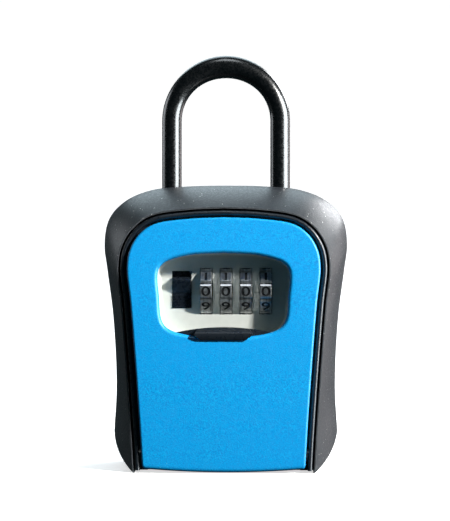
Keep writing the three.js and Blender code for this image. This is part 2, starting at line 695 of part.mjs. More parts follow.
// Open switch: ribbed slide with a thumb ridge, a dust flange and a stem to the latch
function makeOpenButton() {
  const ridge = polygon([
    [-29.2, 59.9], [-29.2, 71.2], [-31.4, 71.2], [-33.5, 70.5], [-33.8, 70.0], [-33.6, 69.3],
    [-31.5, 65.7], [-31.2, 65.0], [-31.2, 59.9],
  ]);
  const ribs = [0, 1, 2, 3, 4].map((i) => (
    box([SWITCH_X - 3.3, SWITCH_X + 3.3], [-31.6, -31.1], [60.1 + i, 60.6 + i])
  ));
  const flange = box([-20.1, -12.8], [-29.1, -27.8], [58.0, 74.6]);
  const neck = box([SWITCH_X - 3.3, -12.8], [-29.3, -29.0], [59.9, 71.2]);
  const stem = box([-17.4, -13.8], [-27.9, -16.6], [62, 69]);
  const bore = extrude(circle(SWITCH_X, 65.5, M2.shank + GAP), 'y', [-25, 0], 6);
  const slide = extrude(ridge, 'x', [SWITCH_X - 3.3, SWITCH_X + 3.3]);
  return cut(join(slide, ...ribs, neck, flange, stem), bore);
}

// ---------------------------------------------------------------- assembly
const lockBox = new THREE.Group();

function add(name, shape, look, parent = lockBox) {
  const geometry = shape.isBufferGeometry ? shape : toGeometry(shape);
  const mesh = new THREE.Mesh(geometry, look);
  mesh.name = name;
  parent.add(mesh);
  return mesh;
}

// Places a row of like pieces and numbers them; turn sets which way the screw's head points
function addRow(name, geometry, look, places, turn) {
  places.forEach((place, i) => {
    const mesh = add(`${name}_${i + 1}`, geometry, look);
    mesh.position.set(...place);
    mesh.rotation.set(...turn);
  });
}

const TO_WALL = [-Math.PI / 2, 0, 0]; // head towards +Y
const TO_DOOR = [Math.PI / 2, 0, 0]; // head towards -Y
const HEAD_DOWN = [Math.PI, 0, 0];

add('outer_shell', makeOuterShell(), SHELL);
add('inner_box', makeInnerBox(), CASTING);
add('shackle_block', makeShackleBlock(), CASTING);
add('shackle_lock_plate', makeLockPlate(), STEEL);
add('shackle', makeShackle(), GLOSS_BLACK);
add('latch_keeper', makeKeeper(), STEEL);
addRow('shell_screw', flatScrew(M25, 8), STEEL, SHELL_SCREWS.map(([x, z]) => [x, 0, z]), TO_WALL);
addRow('block_screw', flatScrew(M25, 9), STEEL, BLOCK_SCREWS.map(([x, z]) => [x, 0, z]), TO_WALL);
addRow(
  'keeper_screw', panScrew(M25, 4), STEEL, KEEPER_SCREWS.map(([x, y]) => [x, y, 91.3]), HEAD_DOWN,
);
addRow(
  'wall_hole_plug', plugGeometry(), RUBBER,
  WALL_HOLES.map(([x, z]) => [x, BACK_WALL_Y, z]), TO_DOOR,
);
const pinMiddle = (PIN_X[0] + PIN_X[1]) / 2;
addRow(
  'hinge_pin', pinGeometry(), STEEL,
  [-pinMiddle, pinMiddle].map((x) => [x, HINGE.y, HINGE.z]), [0, 0, 0],
);

add('door_cover', makeDoorCover(), BLUE);
add('door_chassis', makeDoorChassis(), BLACK);
add('dial_panel', makeDialPanel(), LIGHT_GREY);
add('dial_shutter', makeShutter(), BLACK);
addRow(
  'cover_screw', panScrew(M25, 4.6), STEEL,
  COVER_SCREWS.map(([x, z]) => [x, CHASSIS_Y[1] + GAP, z]), TO_WALL,
);
add('lock_case', makeLockCase(), CASTING);
add('lock_cover', makeLockCover(), STEEL);
addRow(
  'case_screw', panScrew(M25, 21), STEEL,
  CASE_POSTS.map(([x, z]) => [x, LOCK_COVER_Y[1] + GAP, z]), TO_WALL,
);
add('detent_spring', makeDetentSpring(), STEEL);
add('open_button', makeOpenButton(), BLACK);
add('latch_plate', makeLatchPlate(), STEEL);
add('latch_screw', panScrew(M2, 8), STEEL);
lockBox.getObjectByName('latch_screw').position.set(SWITCH_X, LATCH_Y[1] + GAP, 65.5);
lockBox.getObjectByName('latch_screw').rotation.set(...TO_WALL);

const dialPlaces = dialIndices.map((i) => [dialX(i), DIAL.y, DIAL.z]);
addRow('dial_wheel', toGeometry(makeDialWheel()), CHROME, dialPlaces, [0, 0, 0]);
addRow('clutch_sleeve', toGeometry(makeClutchSleeve()), BRASS, dialPlaces, [0, 0, 0]);
add('dial_shaft', makeShaft(), STEEL);
add('code_lever', makeCodeLever(), BLACK);

// Centre the bounding box on the Z axis, with the base left at Z = 0
const bounds = new THREE.Box3().setFromObject(lockBox);
lockBox.position.y = -(bounds.min.y + bounds.max.y) / 2;

export default lockBox;
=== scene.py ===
import bmesh
import bpy
import math
from mathutils import Matrix, Vector


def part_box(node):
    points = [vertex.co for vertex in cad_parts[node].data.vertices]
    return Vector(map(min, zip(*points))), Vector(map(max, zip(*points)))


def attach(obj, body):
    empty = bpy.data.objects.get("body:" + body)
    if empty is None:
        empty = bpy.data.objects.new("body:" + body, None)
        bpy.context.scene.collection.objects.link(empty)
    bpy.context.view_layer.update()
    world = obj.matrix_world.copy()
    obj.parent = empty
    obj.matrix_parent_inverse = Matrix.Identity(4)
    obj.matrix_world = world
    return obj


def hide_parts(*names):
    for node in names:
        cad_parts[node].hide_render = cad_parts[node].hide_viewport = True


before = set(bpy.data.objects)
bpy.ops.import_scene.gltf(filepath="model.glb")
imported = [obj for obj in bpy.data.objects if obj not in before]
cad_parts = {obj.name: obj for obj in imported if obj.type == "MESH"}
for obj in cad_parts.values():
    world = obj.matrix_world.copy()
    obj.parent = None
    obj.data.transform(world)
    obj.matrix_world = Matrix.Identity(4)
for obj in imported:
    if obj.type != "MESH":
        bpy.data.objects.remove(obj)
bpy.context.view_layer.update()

# Key lock box. Shapes are drawn in millimetres with the wall plane at y = 0 and the front towards
# -y, as the CAD part is, and solid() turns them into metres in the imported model's frame.
MM = 0.001
WALL_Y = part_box("inner_box")[1].y / MM

# Cutting shapes reach past the box: from AHEAD of it to BEHIND the wall plane, and ACROSS it.
AHEAD, BEHIND, ACROSS = -60, 5, (-80, 80)
TO_WALL = Matrix.Rotation(-math.pi / 2, 4, "X")
TO_FRONT = Matrix.Rotation(math.pi / 2, 4, "X")
HEAD_DOWN = Matrix.Rotation(math.pi, 4, "X")
IN_PLACE = Matrix.Identity(4)


# ------------------------------------------------------------------ outlines
def along(line, count):
    """Count + 1 evenly spaced points on a polyline."""
    lengths = [0.0]
    for a, b in zip(line, line[1:]):
        lengths.append(lengths[-1] + (b - a).length)
    spaced, at = [], 0
    for k in range(count + 1):
        target = lengths[-1] * k / count
        while at < len(line) - 2 and lengths[at + 1] < target:
            at += 1
        share = (target - lengths[at]) / (lengths[at + 1] - lengths[at])
        spaced.append(line[at].lerp(line[at + 1], min(1.0, share)))
    return spaced


def smooth_curve(points, count):
    """Evenly spaced points on the centripetal Catmull-Rom curve through a few points."""
    steps = 24
    knots = [Vector(p) for p in points]
    knots = [2 * knots[0] - knots[1], *knots, 2 * knots[-1] - knots[-2]]
    dense = []
    for p0, p1, p2, p3 in zip(knots, knots[1:], knots[2:], knots[3:]):
        d0, d1, d2 = [math.sqrt((b - a).length) for a, b in ((p0, p1), (p1, p2), (p2, p3))]
        m1 = ((p1 - p0) / d0 - (p2 - p0) / (d0 + d1) + (p2 - p1) / d1) * d1
        m2 = ((p2 - p1) / d1 - (p3 - p1) / (d1 + d2) + (p3 - p2) / d2) * d1
        for k in range(steps):
            t = k / steps
            start = p1 * (2 * t**3 - 3 * t**2 + 1) + m1 * (t**3 - 2 * t**2 + t)
            dense.append(start + p2 * (3 * t**2 - 2 * t**3) + m2 * (t**3 - t**2))
    return along(dense + [knots[-2]], count)


def mirrored(half):
    """The whole outline, from its right half, which runs from the foot up to the crown."""
    return half + [Vector((-p.x, p.y)) for p in reversed(half) if abs(p.x) > 1e-6]


def offset(outline, distance):
    """A closed anticlockwise outline moved outwards, or inwards if the distance is negative."""
    moved = []
    for i, here in enumerate(outline):
        before = here - outline[i - 1]
        after = outline[(i + 1) % len(outline)] - here
        a = Vector((before.y, -before.x)).normalized()
        b = Vector((after.y, -after.x)).normalized()
        middle = (a + b).normalized()
        moved.append(here + middle * (distance / middle.dot(a)))
    return moved


def disc(centre, radius, count=32):
    """Points round a circle, anticlockwise from its right."""
    angles = [math.radians(360 * k / count) for k in range(count)]
    middle = Vector(centre)
    return [middle + Vector((radius * math.cos(a), radius * math.sin(a))) for a in angles]


def rectangle(u, v):
    return [Vector(p) for p in ((u[0], v[0]), (u[1], v[0]), (u[1], v[1]), (u[0], v[1]))]


STEPS, WINDOW_STEPS = 110, 60  # points on each half of an outline
BODY = mirrored(smooth_curve([
    (42.0, -12), (42.4, 9), (41.4, 30), (42.7, 57), (44.9, 74), (46.0, 84),
    (44.1, 93.5), (37.9, 100.1), (28.1, 104.1), (14.0, 105.5), (0, 105.8),
], STEPS))
COVER = mirrored(smooth_curve([
    (29.0, -12), (29.9, 8), (31.1, 27), (32.4, 45), (33.8, 62), (35.1, 75),
    (34.0, 81.3), (30.8, 86.6), (25.5, 90.3), (13.0, 92.3), (0, 92.9),
], STEPS))
WINDOW = mirrored(smooth_curve([
    (0, 49.2), (11.0, 49.9), (17.6, 51.3), (21.1, 53.3), (22.7, 56.3), (23.4, 64), (24.0, 71),
    (23.5, 74.2), (21.7, 76.3), (18.8, 77.6), (12.0, 79.2), (0, 79.9),
], WINDOW_STEPS))


# ------------------------------------------------------------------ solids
def new_object(name, data):
    made = bpy.data.objects.new(name, data)
    bpy.context.scene.collection.objects.link(made)
    return made


def final_mesh(piece):
    """The mesh that an object's curves or modifiers come out as."""
    return bpy.data.meshes.new_from_object(
        piece.evaluated_get(bpy.context.evaluated_depsgraph_get())
    )


def merged(mesh, distance):
    """Merges points that meet and turns every face outwards."""
    work = bmesh.new()
    work.from_mesh(mesh)
    bmesh.ops.remove_doubles(work, verts=work.verts, dist=distance)
    bmesh.ops.recalc_face_normals(work, faces=work.faces)
    work.to_mesh(mesh)
    work.free()


def solid(points, faces, name="tool"):
    """A mesh object from points in drawing millimetres."""
    mesh = bpy.data.meshes.new(name)
    mesh.from_pydata([(x * MM, (y + WALL_Y) * MM, z * MM) for x, y, z in points], [], faces)
    merged(mesh, 1e-7)
    return new_object(name, mesh)


def lofted(rings, capped=True):
    """Skin over rings of points that all have the same count."""
    size = len(rings[0])
    points = [p for ring in rings for p in ring]
    faces = []
    skins = len(rings) - 1 if capped else len(rings)
    for r in range(skins):
        low, high = r * size, (r + 1) % len(rings) * size
        for k in range(size):
            n = (k + 1) % size
            faces.append((low + k, low + n, high + n, high + k))
    if capped:
        faces.append(tuple(reversed(range(size))))
        faces.append(tuple(range(len(points) - size, len(points))))
    return solid(points, faces)


def placed(outline, axis, depth):
    """A flat outline as points in space: (y, z) for x, (x, z) for y, and (x, y) for z."""
    if axis == "x":
        return [(depth, p.x, p.y) for p in outline]
    if axis == "y":
        return [(p.x, depth, p.y) for p in outline]
    return [(p.x, p.y, depth) for p in outline]


def prism(outline, axis, span):
    return lofted([placed(outline, axis, depth) for depth in span])


def block(x, y, z):
    return prism(rectangle(x, y), "z", z)


def turned(profile, count):
    """A solid of revolution about z from a profile of (radius, height), with its ends closed."""
    smallest = 0.01
    return lofted([placed(disc((0, 0), max(r, smallest), count), "z", z) for r, z in profile])


def turn(piece, matrix, at=(0, 0, 0)):
    """Turns a shape drawn round the drawing's origin, then moves the origin to a place."""
    origin = Matrix.Translation((0, WALL_Y * MM, 0))
    move = Matrix.Translation(Vector(at) * MM)
    piece.data.transform(origin @ move @ matrix @ origin.inverted())
    return piece


def drop(piece):
    """Removes an object and its mesh."""
    mesh = piece.data
    bpy.data.objects.remove(piece)
    bpy.data.meshes.remove(mesh)


def combine(piece, operation, tools):
    """Adds, subtracts or intersects tools, which are used up."""
    for tool in tools:
        change = piece.modifiers.new("combine", "BOOLEAN")
        change.operation = operation
        change.solver = "MANIFOLD"
        change.object = tool
        mesh = final_mesh(piece)
        piece.modifiers.clear()
        old = piece.data
        piece.data = mesh
        bpy.data.meshes.remove(old)
        drop(tool)
    return piece


def cut(piece, *tools):
    return combine(piece, "DIFFERENCE", tools)


def common(piece, *tools):
    return combine(piece, "INTERSECT", tools)


def joined(piece, *others):
    return combine(piece, "UNION", others)


def rounded(mesh, width):
    """Melts flat faces together, then rounds every sharp edge."""
    flat, sharp = math.radians(0.3), math.radians(35)
    work = bmesh.new()
    work.from_mesh(mesh)
    bmesh.ops.remove_doubles(work, verts=work.verts, dist=1e-6)
    bmesh.ops.dissolve_limit(work, angle_limit=flat, verts=work.verts, edges=work.edges)
    corners = [e for e in work.edges if len(e.link_faces) == 2 and e.calc_face_angle(0) > sharp]
    bmesh.ops.bevel(
        work, geom=corners, offset=width * MM, offset_type="OFFSET", segments=2,
        profile=0.5, affect="EDGES", clamp_overlap=True,
    )
    work.to_mesh(mesh)
    work.free()


def shade(piece, angle):
    """Smooth shading with every edge sharper than the angle, in degrees, kept crisp."""
    work = bmesh.new()
    work.from_mesh(piece.data)
    loose = [v for v in work.verts if not v.link_faces]
    bmesh.ops.delete(work, geom=loose, context="VERTS")
    for face in work.faces:
        face.smooth = True
    for edge in work.edges:
        edge.smooth = len(edge.link_faces) == 2 and edge.calc_face_angle(0) < math.radians(angle)
    work.to_mesh(piece.data)
    work.free()
    piece.modifiers.new("flat_faces_stay_flat", "WEIGHTED_NORMAL").keep_sharp = True


def piece_of(made, name, body, look, slot, *nodes, angle=32):
    """Names a finished shape, gives it its look, and puts it on its body in place of CAD nodes."""
    shade(made, angle)
    made.name = name
    made.data.name = name
    if not any(made.data.materials):
        made.data.materials.clear()
        made.data.materials.append(look)
    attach(made, body)
    if nodes:
        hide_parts(*nodes)


# ------------------------------------------------------------------ materials
class Look:
    """A procedural material. Texture coordinates are the piece's own, in metres."""

    def __init__(self, name, roughness, metallic=0.0, **sockets):
        self.material = bpy.data.materials.new(name)
        self.material.use_nodes = True
        self.tree = self.material.node_tree
        self.shader = self.tree.nodes["Principled BSDF"]
        self.shader.inputs["Roughness"].default_value = roughness
        self.shader.inputs["Metallic"].default_value = metallic
        for socket, value in sockets.items():
            self.shader.inputs[socket.replace("_", " ")].default_value = value
        self.place = self.tree.nodes.new("ShaderNodeTexCoord").outputs["Object"]
        self.normal = None

    def node(self, kind, links=(), **values):
        made = self.tree.nodes.new("ShaderNode" + kind)
        for key, value in values.items():
            if hasattr(made, key):
                setattr(made, key, value)
            else:
                made.inputs[key].default_value = value
        for key, output in dict(links).items():
            self.tree.links.new(output, made.inputs[key])
        return made

    def noise(self, scale, detail=2.0, stretch=None):
        place = self.place
        if stretch:
            scaled = self.node("Mapping", {"Vector": place})
            scaled.inputs["Scale"].default_value = stretch
            place = scaled.outputs["Vector"]
        made = self.node("TexNoise", {"Vector": place}, Scale=scale, Detail=detail)
        return made.outputs["Fac"]

    def ramp(self, value, low, high, first=0.0, last=1.0):
        """Maps a value so that low gives the first number and high gives the last."""
        made = self.node("MapRange", {"Value": value})
        made.inputs["From Min"].default_value = low
        made.inputs["From Max"].default_value = high
        made.inputs["To Min"].default_value = first
        made.inputs["To Max"].default_value = last
        return made.outputs["Result"]

    def mix(self, factor, first, second):
        """Mixes two colours, each a colour or another node's output."""
        made = self.node("Mix", data_type="RGBA")
        self.tree.links.new(factor, made.inputs["Factor"])
        for socket, colour in ((made.inputs[6], first), (made.inputs[7], second)):
            if isinstance(colour, bpy.types.NodeSocket):
                self.tree.links.new(colour, socket)
            else:
                socket.default_value = (*colour, 1)
        return made.outputs[2]

    def colour(self, output):
        self.tree.links.new(output, self.shader.inputs["Base Color"])

    def rough(self, value, low, high):
        """Roughness that follows a noise value, most of which lies between 0.3 and 0.7."""
        self.tree.links.new(self.ramp(value, 0.3, 0.7, low, high), self.shader.inputs["Roughness"])

    def bump(self, height, distance, strength):
        """Adds relief, with the distance in millimetres, on top of any relief added before."""
        made = self.node("Bump", {"Height": height}, Strength=strength, Distance=distance * MM)
        if self.normal:
            self.tree.links.new(self.normal, made.inputs["Normal"])
        self.normal = made.outputs["Normal"]
        self.tree.links.new(self.normal, self.shader.inputs["Normal"])

    def specks(self, spacing, radius, share):
        """A mask of small round dots, at a share of the cells of a random lattice."""
        cells = self.node("TexVoronoi", {"Vector": self.place}, Scale=1 / (spacing * MM))
        near = self.node("Math", {0: cells.outputs["Distance"]}, operation="LESS_THAN")
        near.inputs[1].default_value = radius / spacing
        chosen = self.node("Math", {0: cells.outputs["Color"]}, operation="LESS_THAN")
        chosen.inputs[1].default_value = share
        both = self.node("Math", {0: near.outputs[0], 1: chosen.outputs[0]}, operation="MULTIPLY")
        return both.outputs[0]

    def corners(self):
        """A mask of the outer corners, where handling wears the finish."""
        return self.ramp(self.node("NewGeometry").outputs["Pointiness"], 0.52, 0.6)


def moulded_shell():
    """Matt black moulding with a spark-eroded grain, worn corners and a little dust."""
    look = Look("shell_black", 0.5)
    grain = look.noise(1500, 2)
    base = look.mix(look.noise(140), (0.0055, 0.0085, 0.013), (0.012, 0.016, 0.022))
    pitted = look.mix(look.ramp(grain, 0.52, 0.66), base, (0.024, 0.028, 0.033))
    worn = look.mix(look.corners(), pitted, (0.09, 0.1, 0.11))
    dusty = look.mix(look.specks(0.9, 0.16, 0.42), worn, (0.06, 0.065, 0.07))
    look.colour(look.mix(look.specks(1.5, 0.16, 0.33), dusty, (0.6, 0.62, 0.61)))
    look.rough(grain, 0.3, 0.56)
    look.bump(grain, 0.075, 0.9)
    return look.material


def blue_face():
    """Satin blue moulding with a fine grain."""
    look = Look("door_blue", 0.4, Specular_IOR_Level=0.35)
    grain = look.noise(2300, 1)
    base = look.mix(look.ramp(grain, 0.25, 0.75), (0.0, 0.225, 0.66), (0.001, 0.51, 1.0))
    broad = look.mix(look.ramp(look.noise(45), 0.2, 1.2), base, (0.0, 0.365, 0.9))
    look.colour(look.mix(look.specks(2.6, 0.17, 0.22), broad, (0.1, 0.62, 0.98)))
    look.rough(look.noise(700, 3), 0.36, 0.48)
    look.bump(grain, 0.06, 0.6)
    return look.material


def satin_trim(name, low, high, gloss):
    """Satin black moulding, smoother than the shell, with its lowest and highest roughness."""
    look = Look(name, low, Specular_IOR_Level=gloss)
    base = look.mix(look.noise(220), (0.006, 0.01, 0.016), (0.012, 0.017, 0.024))
    look.colour(look.mix(look.specks(2.4, 0.14, 0.22), base, (0.4, 0.41, 0.42)))
    look.rough(look.noise(800, 3), low, high)
    look.bump(look.noise(1600, 3), 0.03, 0.4)
    return look.material


def gloss_coat():
    """Gloss black coating on bar, faintly rippled and pitted, with dust on it."""
    look = Look("shackle_black", 0.3, Coat_Weight=0.35, Coat_Roughness=0.1)
    grain = look.noise(1500, 2)
    patches = look.ramp(look.noise(500, 4), 0.5, 0.75)
    base = look.mix(patches, (0.0006, 0.001, 0.0015), (0.004, 0.005, 0.006))
    look.colour(look.mix(look.specks(2.4, 0.15, 0.2), base, (0.3, 0.3, 0.3)))
    look.rough(grain, 0.2, 0.36)
    look.bump(grain, 0.018, 0.5)
    look.bump(look.noise(220, 2), 0.02, 0.4)
    return look.material


def casting():
    """Dark grey powder coat on die-cast metal, with orange peel."""
    look = Look("casting_grey", 0.5)
    base = look.mix(look.noise(160), (0.036, 0.039, 0.043), (0.06, 0.063, 0.068))
    look.colour(look.mix(look.specks(3.4, 0.2, 0.2), base, (0.16, 0.16, 0.16)))
    look.rough(look.noise(600, 3), 0.4, 0.58)
    look.bump(look.noise(1100, 3), 0.06, 0.6)
    return look.material


def light_panel():
    """Smooth light grey moulding, faintly mottled."""
    look = Look("panel_light", 0.42)
    look.colour(look.mix(look.noise(420, 3), (0.57, 0.6, 0.56), (0.66, 0.685, 0.645)))
    look.rough(look.noise(500, 2), 0.34, 0.5)
    look.bump(look.noise(1500, 2), 0.02, 0.4)
    return look.material


def chrome():
    """Plated die-cast metal, dulled in patches, with fine marks across the pads."""
    look = Look("wheel_chrome", 0.2, 1.0)
    marks = look.noise(1500, 3, (1, 0.12, 0.12))
    plated = look.mix(look.ramp(marks, 0.35, 0.7), (0.36, 0.37, 0.38), (0.62, 0.63, 0.64))
    look.colour(look.mix(look.ramp(look.noise(500, 2), 0.5, 0.7), plated, (0.24, 0.24, 0.245)))
    look.rough(marks, 0.27, 0.38)
    look.bump(look.noise(700, 1), 0.004, 0.5)
    return look.material


def digit_paint():
    """Black paint in the engraved digits."""
    look = Look("digit_black", 0.4)
    look.colour(look.mix(look.noise(1800), (0.002, 0.002, 0.003), (0.008, 0.008, 0.01)))
    look.rough(look.noise(900), 0.3, 0.5)
    return look.material


def plated_steel():
    """Zinc-plated steel with a drawn grain and dull patches."""
    look = Look("steel", 0.34, 1.0)
    drawn = look.noise(900, 4, (0.1, 1, 1))
    patches = look.mix(look.noise(120), (0.4, 0.4, 0.41), (0.58, 0.57, 0.55))
    look.colour(look.mix(look.ramp(drawn, 0.35, 0.8), patches, (0.3, 0.31, 0.32)))
    look.rough(drawn, 0.24, 0.5)
    look.bump(drawn, 0.02, 0.5)
    return look.material


def turned_brass():
    """Brass with turning rings round the x axis and a light tarnish."""
    look = Look("brass", 0.3, 1.0)
    rings = look.noise(2200, 2, (1, 0.03, 0.03))
    look.colour(look.mix(look.noise(300, 3), (0.42, 0.25, 0.07), (0.68, 0.45, 0.15)))
    look.rough(rings, 0.2, 0.42)
    look.bump(rings, 0.02, 0.6)
    return look.material


def soft_rubber():
    """Matt black rubber, dusty in patches."""
    look = Look("rubber_black", 0.8)
    look.colour(look.mix(look.noise(500, 4), (0.012, 0.012, 0.012), (0.035, 0.034, 0.033)))
    look.rough(look.noise(700, 3), 0.7, 0.9)
    look.bump(look.noise(1500, 3), 0.04, 0.5)
    return look.material


SHELL, BLUE = moulded_shell(), blue_face()
TRIM = satin_trim("trim_black", 0.24, 0.4, 0.5)
GLOSS, CASTING, PANEL = gloss_coat(), casting(), light_panel()
CHROME, PAINT, STEEL = chrome(), digit_paint(), plated_steel()
BRASS, RUBBER = turned_brass(), soft_rubber()
SWITCH = satin_trim("switch_black", 0.22, 0.34, 0.25)


# ------------------------------------------------------------------ driving dimensions
GAP = 0.3  # clearance between pieces that fit into each other

# Housing
CREST_Y, RIM_Y = -14, -37.5
RIM_OFFSET, RIM_WIDTH = 3.1, 0.8
FLARE = 0.6  # how much the flare bulges out of a straight slope
BACK_EDGE = ((0.5, 0), (0.15, -0.15), (0, -0.5))  # (inset, y) of the rounded edge at the wall
BOX_FRONT_Y, BACK_WALL_Y, FLANGE_Y, FLANGE_INSET = -33, -3, -2.4, 2.2
BOX_OFFSET, BOX_WALL, BOX_FOOT_Z, FLOOR_TOP_Z = 3.0, 2.0, 2.7, 5
FOOT_CORNER = ((32.6, 0), (36.8, 2.6), (42.3, 8.0), (42.5, 16))

# Hinge
HINGE_Y, HINGE_Z, PIN, KNUCKLE, SWEEP = -34.8, 6.0, 1.25, 2.9, 7.3
EAR_X, KNUCKLES_X = (24.3, 27.4), ((18.5, 23.7), (28.0, 32.0))

# Screws and holes
SCREW_HOLE, SCREW_HOLE_DEPTH, SCREW_HOLE_CHAMFER = 1.5, 8, 1.0
RECESS_DEPTH = 1.1
WALL_HOLE = 3.0
WALL_HOLES = [(x, z) for x in (-19, 19) for z in (22, 70)]
SHELL_SCREWS = [(-36.8, 20), (36.8, 20), (-40.2, 74), (40.2, 74)]
BLOCK_SCREWS = [(-12, 91.2), (12, 91.2)]

# Shackle
ROD, LEG_X, SHACKLE_Y, SHACKLE_TOP, LEG_FOOT = 3.75, 20.7, -9.0, 155.6, 85.3
SHACKLE_SWELL = 0.14
SHACKLE_BEND_Z = SHACKLE_TOP - ROD * (1 + SHACKLE_SWELL) - LEG_X
LEG_HOLE, LEG_HOLE_Z = 4.1, (80, 120)
NOTCH_DEPTH, NOTCH_Z = 2, (86.95, 89.15)

# Door
CHASSIS_Y, CHASSIS_FOOT_Z, BEAD_Y, BEAD_OFFSET = (-35.9, -33.3), 1.0, -38.2, (0.9, 2.5)
CROWN_Y, DOME_SAG, DOME_MIDDLE = -40.5, 1.5, 46.5
COVER_BACK_Y, COVER_EDGE, WINDOW_LIP = -36.2, 0.8, 1.35
FOOT_Z, FOOT_RISE, FOOT_AT, FOOT_ROUND = 0.2, 1.3, 29.5, 1.6
POCKET_Y, POCKET_X, POCKET_Z = -38.0, (-25.9, 25.9), (20.4, 81.2)
HINGE_RECESS_Z = (-20, 9.5)

# Dial panel, switch slot and number wheels
PANEL_Y = (-31.0, -29.9)
SLOT_HALF, SLOT_Z = 2.35, (57.5, 74.5)
SWITCH_X, SWITCH_HALF, SWITCH_Z = -15.6, 3.6, (59.7, 73.4)
INDEX_X, INDEX_RIB_Z, INDEX_GROOVE_Z = (SWITCH_X, 21.6), (65.75, 66.3), (65.15, 65.75)
DIAL_X = [-6.6 + 7.3 * i for i in range(4)]
DIAL_Y, DIAL_Z, DIAL_R, DIAL_FACE, DIAL_HALF = -26.2, 66, 9.5, 9.19, 2.05
DIAL_BORE, DIAL_PITCH = 3.6, 36
DIGIT_HEIGHT, DIGIT_WIDEN, DIGIT_DEPTH = 3.4, 1.46, 0.28


# ------------------------------------------------------------------ housing
def foot_trim(inset=0.0):
    """Everything above the base and inside the two rounded lower corners."""
    a, b, c, top = [Vector((x - inset, z + inset)) for x, z in FOOT_CORNER]
    corner, steps = [], 24
    for k in range(steps + 1):
        t = k / steps
        curve = a * (1 - t) ** 3 + b * 3 * t * (1 - t) ** 2 + c * 3 * t**2 * (1 - t) + top * t**3
        corner.append(curve)
    right = corner + [Vector((ACROSS[1], top.y)), Vector((ACROSS[1], 150))]
    return prism(right + [Vector((-p.x, p.y)) for p in reversed(right)], "y", (AHEAD, BEHIND))


def above(z):
    """Everything above a height, to trim shapes with."""
    return block(ACROSS, (AHEAD, 20), (z, 200))


def hinge_relief():
    """The room that the door's foot sweeps through as it opens."""
    zone = block(ACROSS, (AHEAD, HINGE_Y + SWEEP), (-12, HINGE_Z + SWEEP))
    return common(prism(offset(COVER, RIM_OFFSET), "y", (AHEAD, 0)), zone)


def leg_holes():
    return [prism(disc((x, SHACKLE_Y), LEG_HOLE), "z", LEG_HOLE_Z) for x in (-LEG_X, LEG_X)]


def back_screw_holes():
    """Countersunk holes that open on the wall side."""
    mouth = SCREW_HOLE + SCREW_HOLE_CHAMFER
    profile = [
        (SCREW_HOLE, -SCREW_HOLE_DEPTH), (SCREW_HOLE, -SCREW_HOLE_CHAMFER), (mouth, 0),
        (mouth, BEHIND),
    ]
    places = SHELL_SCREWS + BLOCK_SCREWS
    return [turn(turned(profile, 24), TO_WALL, (x, 0, z)) for x, z in places]


def outer_shell():
    """Black moulding: straight sides to the crest, then a domed flare that narrows to the rim."""
    rim = offset(COVER, RIM_OFFSET + RIM_WIDTH)
    rings = [placed(offset(BODY, -inset), "y", y) for inset, y in BACK_EDGE]
    rings += [placed(BODY, "y", y) for y in (-4, -8, -11, CREST_Y + 1)]
    steps, flare_end = 32, RIM_Y + 0.25
    for k in range(1, steps + 1):
        t = 1 - k / steps
        keep = t * (1 + FLARE * (1 - t))
        line = [b.lerp(a, keep) for a, b in zip(BODY, rim)]
        rings.append(placed(line, "y", CREST_Y - (1 - t) * (CREST_Y - flare_end)))
    rings.append(placed(offset(rim, -0.1), "y", RIM_Y + 0.07))
    rings.append(placed(offset(rim, -0.3), "y", RIM_Y))
    inside = offset(COVER, RIM_OFFSET)
    recess = lofted([
        placed(offset(inside, 0.3), "y", AHEAD), placed(offset(inside, 0.3), "y", RIM_Y),
        placed(offset(inside, 0.08), "y", RIM_Y + 0.12), placed(inside, "y", RIM_Y + 0.4),
        placed(inside, "y", BOX_FRONT_Y),
    ])
    pocket = prism(offset(COVER, BOX_OFFSET + GAP), "y", (AHEAD, BEHIND))
    flange_pocket = prism(offset(BODY, GAP - FLANGE_INSET), "y", (FLANGE_Y - GAP, BEHIND))
    shell = common(lofted(rings), foot_trim())
    cut(shell, common(pocket, above(BOX_FOOT_Z - GAP)))
    cut(shell, common(flange_pocket, foot_trim(BOX_FOOT_Z - GAP)))
    return cut(shell, recess, hinge_relief(), *leg_holes())


def pin_bore():
    return prism(disc((HINGE_Y, HINGE_Z), PIN + GAP, 24), "x", ACROSS)


def hinge_ears():
    """Two arms that carry the hinge pins in front of the inner box's floor."""
    arm = [Vector(p) for p in (
        (HINGE_Y, HINGE_Z + KNUCKLE), (HINGE_Y, HINGE_Z), (-28.5, HINGE_Z - 2.2),
        (-27, BOX_FOOT_Z + 0.4), (-24, 4), (-24, HINGE_Z + KNUCKLE),
    )]
    ears = []
    for x0, x1 in ((-EAR_X[1], -EAR_X[0]), EAR_X):
        ear = prism(disc((HINGE_Y, HINGE_Z), KNUCKLE, 40), "x", (x0, x1))
        ears.append(joined(ear, prism(arm, "x", (x0, x1))))
    return ears


def inner_box():
    """Cast tray with the key space, the back flange and the hinge ears."""
    walls = prism(offset(COVER, BOX_OFFSET), "y", (BOX_FRONT_Y, 0))
    edge = ((0, FLANGE_Y), *reversed(BACK_EDGE))
    flange = lofted([placed(offset(BODY, -FLANGE_INSET - inset), "y", y) for inset, y in edge])
    cavity = prism(offset(COVER, BOX_OFFSET - BOX_WALL), "y", (AHEAD, BACK_WALL_Y))
    tray = common(joined(walls, flange), foot_trim(BOX_FOOT_Z))
    cut(tray, common(cavity, above(FLOOR_TOP_Z)), hinge_relief())
    joined(tray, *hinge_ears())
    cut(tray, pin_bore(), *leg_holes())
    cut(tray, *[prism(disc(p, WALL_HOLE, 40), "y", (-10, BEHIND)) for p in WALL_HOLES])
    return cut(tray, *back_screw_holes())


piece_of(outer_shell(), "shell_moulding", "housing", SHELL, "shell_black", "outer_shell", angle=30)
piece_of(inner_box(), "inner_tray", "housing", CASTING, "casting_grey", "inner_box", angle=30)


